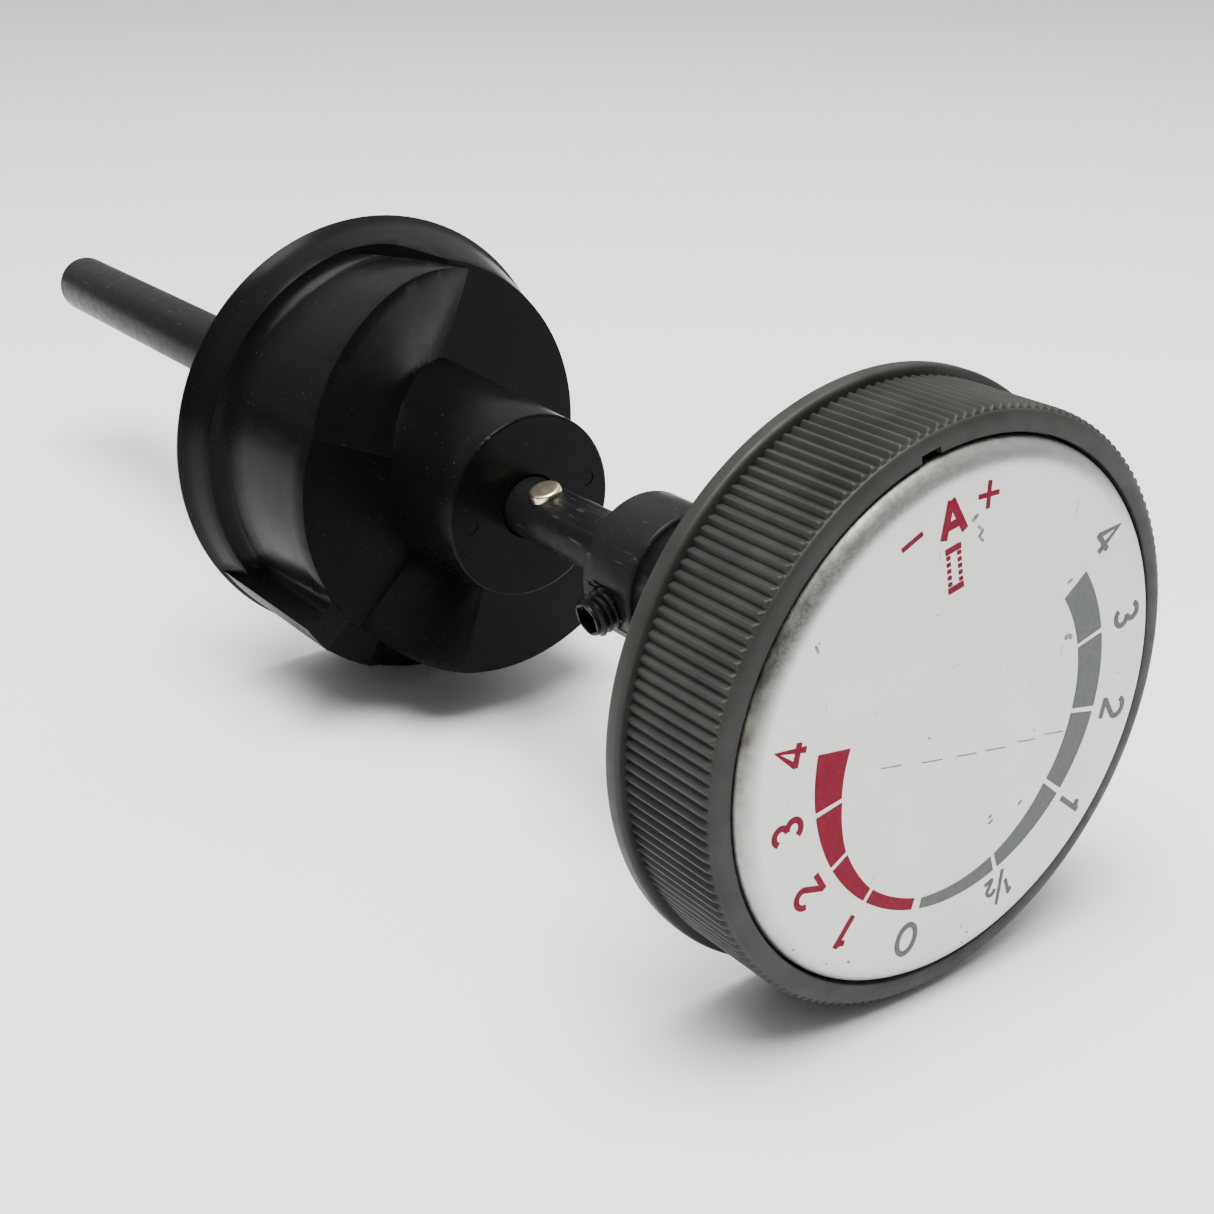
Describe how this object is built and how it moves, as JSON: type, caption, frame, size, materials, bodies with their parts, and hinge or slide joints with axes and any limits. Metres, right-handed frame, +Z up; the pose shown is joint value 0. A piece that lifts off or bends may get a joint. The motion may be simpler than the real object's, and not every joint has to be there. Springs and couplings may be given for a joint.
{
  "type": "control dial with cam shaft",
  "caption": "Round knurled control dial with a printed scale plate, set-screwed to a stepped shaft that carries a moulded face cam.",
  "frame": {"origin": "on the axis of rotation, in the plane of the shaft shoulder that the cam's rear face seats on", "axes": "-Y along the axis towards the dial's face, +Y towards the free end of the rear journal, +Z up with the dial held on edge"},
  "size_m": [0.0498, 0.173, 0.0498],
  "materials": {
    "black_steel": "blackened, satin",
    "brass_pin": "bright, turned",
    "gloss_black_plastic": "gloss moulded",
    "warm_grey_plastic": "matte moulded",
    "hub_black_plastic": "semi-gloss moulded",
    "satin_black_metal": "blackened, satin",
    "screw_steel": "black oxide, oiled",
    "satin_aluminium": "fine satin",
    "red_ink": "printed",
    "grey_ink": "printed"
  },
  "bodies": {
    "cam_shaft": {"shaft": "black_steel", "cross_pin": "brass_pin", "cam_drum": "gloss_black_plastic"},
    "dial": {"dial_knob": "warm_grey_plastic", "dial_hub": "hub_black_plastic", "hub_collar": "satin_black_metal", "dial_plate": "satin_aluminium", "scale_red": "red_ink", "scale_grey": "grey_ink"},
    "screw": {"set_screw": "screw_steel"}
  },
  "joints": [
    {"name": "dial_setting", "type": "hinge", "parent": "cam_shaft", "child": "dial", "pos_m": [0, -0.0525, 0], "axis": [0, -1, 0], "continuous": true},
    {"name": "screw_travel", "type": "slide", "parent": "dial", "child": "screw", "axis": [-0.9673, 0, -0.2538], "range_m": [0, 0.0025]}
  ]
}
